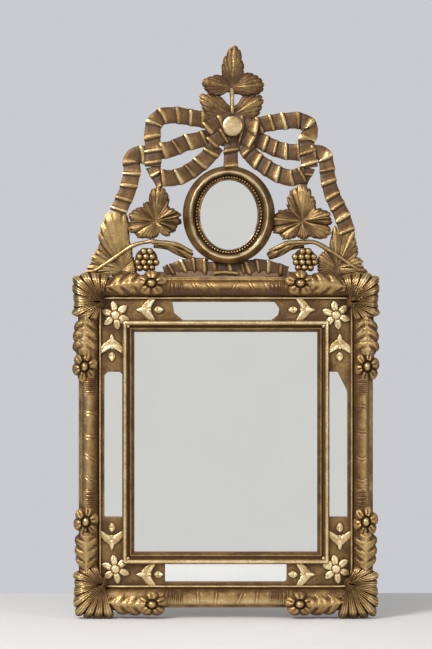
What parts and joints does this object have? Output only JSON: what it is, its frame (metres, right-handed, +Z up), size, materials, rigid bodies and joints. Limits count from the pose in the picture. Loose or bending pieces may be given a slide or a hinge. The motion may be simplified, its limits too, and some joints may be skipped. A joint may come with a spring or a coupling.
{
  "type": "wall mirror",
  "caption": "Giltwood wall mirror with margin glasses around the main glass, carved corners, and an openwork crest with a ribbon bow, vine leaves and an oval glass.",
  "frame": {"origin": "on the back of the top rail at the middle of its length, where the mirror hangs on the wall", "axes": "+Z up along the height, +X to the right across the front, -Y out of the glass towards the viewer, so +Y goes into the wall"},
  "size_m": [0.5126, 0.048, 0.953],
  "materials": {
    "gilt": "carved wood with aged water gilding, worn to the red-brown bole on the high places",
    "silvered_glass": "silvered mirror glass",
    "bare_wood": "bare aged softwood"
  },
  "bodies": {
    "root": {"outer_frame": "gilt", "margin_panel": "gilt", "sight_moulding": "gilt", "crest": "gilt", "main_mirror": "silvered_glass", "margin_mirror_left": "silvered_glass", "margin_mirror_right": "silvered_glass", "margin_mirror_top": "silvered_glass", "margin_mirror_bottom": "silvered_glass", "oval_mirror": "silvered_glass", "backboard": "bare_wood", "oval_backboard": "bare_wood"}
  },
  "joints": []
}
